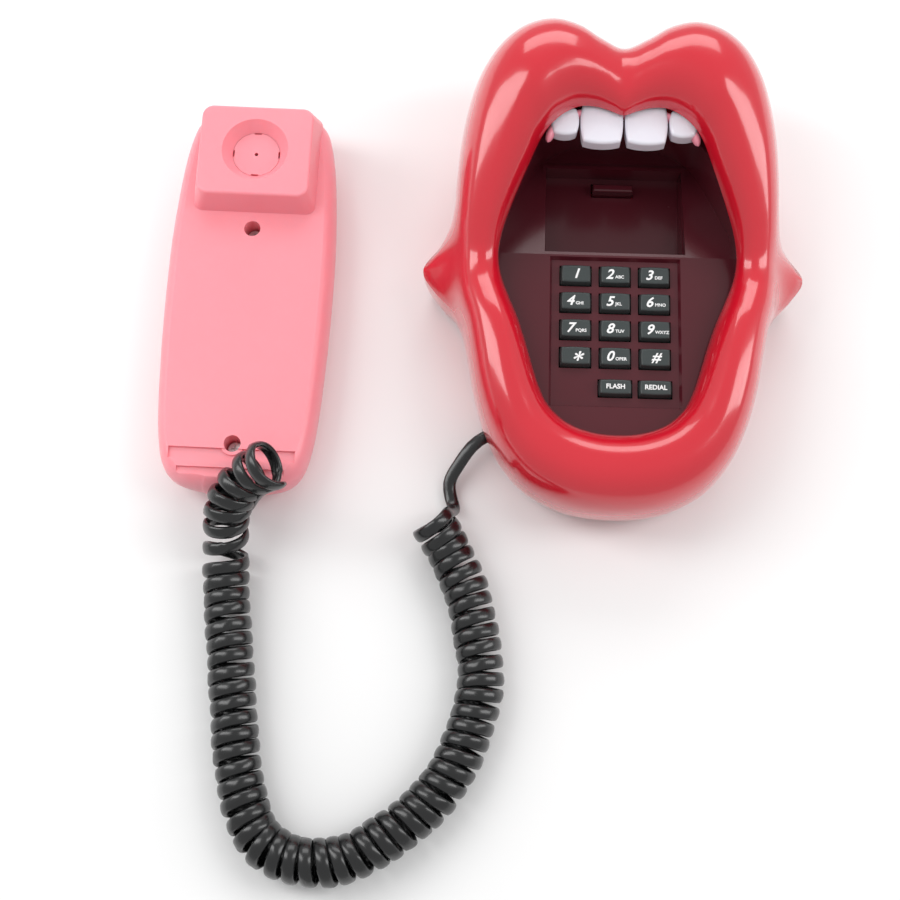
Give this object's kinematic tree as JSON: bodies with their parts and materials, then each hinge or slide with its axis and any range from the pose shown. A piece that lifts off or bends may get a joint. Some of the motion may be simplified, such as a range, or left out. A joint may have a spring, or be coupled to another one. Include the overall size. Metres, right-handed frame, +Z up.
{
  "type": "novelty telephone",
  "caption": "Corded push-button telephone shaped like an open mouth with thick lips and teeth, its tongue-shaped handset lying beside it on a curly cord.",
  "frame": {"origin": "on the table, below the middle of the base and the handset together", "axes": "+X from the handset towards the base, +Y towards the upper lip and the earpiece, +Z up"},
  "size_m": [0.2709, 0.3518, 0.084],
  "materials": {
    "lips": "high gloss",
    "tray": "high gloss",
    "teeth": "gloss",
    "gum": "gloss",
    "keys": "satin, printed white legends",
    "foot_rubber": "matte",
    "screw_steel": "zinc plated",
    "pin_steel": "bright",
    "spring_steel": "bright",
    "silicone": "matte",
    "circuit_board": "solder mask",
    "transformer": "varnished",
    "chip": "matte",
    "brass": "satin",
    "iron": "raw",
    "switch_plastic": "satin",
    "jack_plastic": "satin",
    "plug_clear": "clear",
    "handset": "satin, slightly translucent",
    "receiver_can": "satin",
    "cord": "gloss"
  },
  "bodies": {
    "base": {"lip_shell": "lips", "bottom_plate": "lips", "mouth_tray": "tray", "teeth": "teeth", "gum_strip": "gum", "rubber_feet": "foot_rubber", "base_screws": "screw_steel", "tray_screws": "screw_steel", "board_screws": "screw_steel", "key_mat": "silicone", "keypad_board": "circuit_board", "main_board": "circuit_board", "line_transformer": "transformer", "dial_chip": "chip", "ringer": "brass", "hook_pin": "pin_steel", "hook_switch": "chip", "hook_spring": "spring_steel", "ballast": "iron", "ringer_housing": "switch_plastic", "line_jack": "jack_plastic", "base_cord_jack": "jack_plastic", "base_plug": "plug_clear", "curly_cord": "cord", "base_lead": "cord", "handset_lead": "cord"},
    "handset": {"handset_back": "handset", "handset_front": "handset", "earpiece_cap": "handset", "receiver": "receiver_can", "microphone": "receiver_can", "handset_weight": "iron", "handset_screws": "screw_steel", "handset_cord_jack": "jack_plastic", "handset_plug": "plug_clear"},
    "hook_lever": {"hook_lever": "tray"},
    "ringer_knob": {"ringer_knob": "switch_plastic"},
    "key_1": {"key_1": "keys"},
    "key_2": {"key_2": "keys"},
    "key_3": {"key_3": "keys"},
    "key_4": {"key_4": "keys"},
    "key_5": {"key_5": "keys"},
    "key_6": {"key_6": "keys"},
    "key_7": {"key_7": "keys"},
    "key_8": {"key_8": "keys"},
    "key_9": {"key_9": "keys"},
    "key_star": {"key_star": "keys"},
    "key_0": {"key_0": "keys"},
    "key_hash": {"key_hash": "keys"},
    "key_flash": {"key_flash": "keys"},
    "key_redial": {"key_redial": "keys"}
  },
  "joints": [
    {"name": "handset_lift", "type": "slide", "parent": "base", "child": "handset", "axis": [0, 0, 1], "range_m": [0, 0.08], "deforming": ["curly_cord", "handset_lead"]},
    {"name": "hook_press", "type": "hinge", "parent": "base", "child": "hook_lever", "pos_m": [0.0546, 0.01935, 0.0135], "axis": [1, 0, 0], "range_deg": [-11, 0], "stiffness_Nm_per_rad": 0.05, "springref_deg": 11.46, "deforming": ["hook_spring"]},
    {"name": "ringer_slide", "type": "slide", "parent": "base", "child": "ringer_knob", "axis": [1, 0, 0], "range_m": [0, 0.004]},
    {"name": "press_1", "type": "slide", "parent": "base", "child": "key_1", "axis": [0, 0, 1], "range_m": [-0.0012, 0], "stiffness_N_per_m": 450, "springref_m": 0.0004},
    {"name": "press_2", "type": "slide", "parent": "base", "child": "key_2", "axis": [0, 0, 1], "range_m": [-0.0012, 0], "stiffness_N_per_m": 450, "springref_m": 0.0004},
    {"name": "press_3", "type": "slide", "parent": "base", "child": "key_3", "axis": [0, 0, 1], "range_m": [-0.0012, 0], "stiffness_N_per_m": 450, "springref_m": 0.0004},
    {"name": "press_4", "type": "slide", "parent": "base", "child": "key_4", "axis": [0, 0, 1], "range_m": [-0.0012, 0], "stiffness_N_per_m": 450, "springref_m": 0.0004},
    {"name": "press_5", "type": "slide", "parent": "base", "child": "key_5", "axis": [0, 0, 1], "range_m": [-0.0012, 0], "stiffness_N_per_m": 450, "springref_m": 0.0004},
    {"name": "press_6", "type": "slide", "parent": "base", "child": "key_6", "axis": [0, 0, 1], "range_m": [-0.0012, 0], "stiffness_N_per_m": 450, "springref_m": 0.0004},
    {"name": "press_7", "type": "slide", "parent": "base", "child": "key_7", "axis": [0, 0, 1], "range_m": [-0.0012, 0], "stiffness_N_per_m": 450, "springref_m": 0.0004},
    {"name": "press_8", "type": "slide", "parent": "base", "child": "key_8", "axis": [0, 0, 1], "range_m": [-0.0012, 0], "stiffness_N_per_m": 450, "springref_m": 0.0004},
    {"name": "press_9", "type": "slide", "parent": "base", "child": "key_9", "axis": [0, 0, 1], "range_m": [-0.0012, 0], "stiffness_N_per_m": 450, "springref_m": 0.0004},
    {"name": "press_star", "type": "slide", "parent": "base", "child": "key_star", "axis": [0, 0, 1], "range_m": [-0.0012, 0], "stiffness_N_per_m": 450, "springref_m": 0.0004},
    {"name": "press_0", "type": "slide", "parent": "base", "child": "key_0", "axis": [0, 0, 1], "range_m": [-0.0012, 0], "stiffness_N_per_m": 450, "springref_m": 0.0004},
    {"name": "press_hash", "type": "slide", "parent": "base", "child": "key_hash", "axis": [0, 0, 1], "range_m": [-0.0012, 0], "stiffness_N_per_m": 450, "springref_m": 0.0004},
    {"name": "press_flash", "type": "slide", "parent": "base", "child": "key_flash", "axis": [0, 0, 1], "range_m": [-0.0012, 0], "stiffness_N_per_m": 450, "springref_m": 0.0004},
    {"name": "press_redial", "type": "slide", "parent": "base", "child": "key_redial", "axis": [0, 0, 1], "range_m": [-0.0012, 0], "stiffness_N_per_m": 450, "springref_m": 0.0004}
  ]
}
